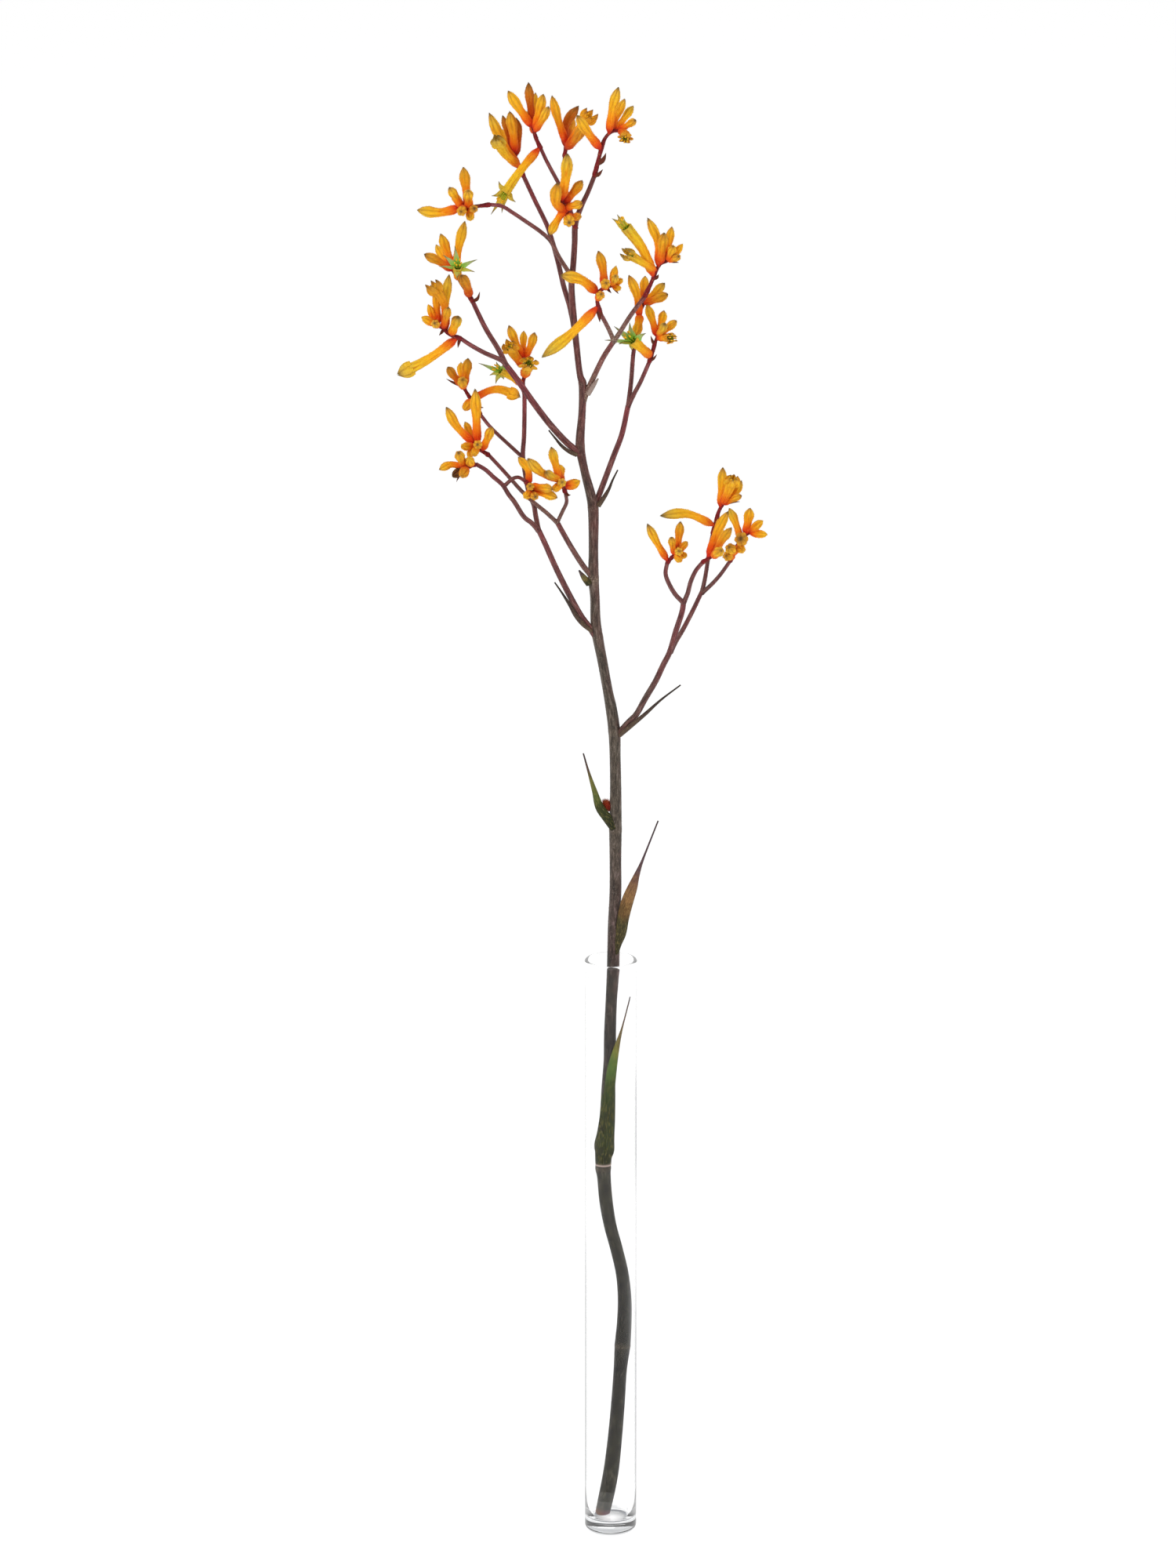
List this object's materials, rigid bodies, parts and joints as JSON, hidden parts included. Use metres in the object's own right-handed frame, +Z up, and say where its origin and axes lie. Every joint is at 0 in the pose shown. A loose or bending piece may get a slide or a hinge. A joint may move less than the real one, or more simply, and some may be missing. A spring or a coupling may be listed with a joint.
{
  "type": "gold fever kangaroo paw stem in a glass vase",
  "caption": "Branching kangaroo paw flower stem with woolly yellow-orange tubular flowers, standing in a tall narrow cylinder vase of clear glass.",
  "frame": {"origin": "centre of the vase's flat underside", "axes": "+Z up along the vase's axis, +X to the right and +Y away from the viewer, seen from the front"},
  "size_m": [0.1971, 0.077, 0.817],
  "materials": {
    "clear_glass": "clear, polished, faintly grey",
    "stem": "matte maroon-brown stem skin with short pale fuzz",
    "branch": "matte red-brown stem skin with short pale fuzz",
    "bract": "matte ribbed leaf, green to orange-brown with a purple tip",
    "flower": "woolly, golden yellow with an orange-red foot and an olive tip"
  },
  "bodies": {
    "root": {"axil_bud": "flower", "bract_above_vase": "bract", "bract_high_left": "bract", "bract_high_right": "bract", "bract_left_green": "bract", "bract_low_left": "bract", "bract_low_right": "bract", "bract_middle_left": "bract", "bract_middle_right": "bract", "branch_high_left": "branch", "branch_high_right": "branch", "branch_low_left": "branch", "branch_low_right": "branch", "branch_middle_left": "branch", "branch_middle_right": "branch", "crown_front": "branch", "crown_left": "branch", "crown_middle": "branch", "head_crown_back": "flower", "head_crown_centre": "flower", "head_crown_front": "flower", "head_crown_left": "flower", "head_crown_middle": "flower", "head_crown_right": "flower", "head_far_left": "flower", "head_high_centre": "flower", "head_high_left": "flower", "head_high_right": "flower", "head_left_inner": "flower", "head_left_low_inner": "flower", "head_left_middle_inner": "flower", "head_left_outer": "flower", "head_low_left": "flower", "head_low_right_back": "flower", "head_low_right_front": "flower", "head_low_right_left": "flower", "head_low_right_top": "flower", "head_middle_left": "flower", "head_right_inner": "flower", "head_right_outer": "flower", "main_stem": "stem", "sheath_blade": "bract", "vase": "clear_glass"}
  },
  "joints": []
}
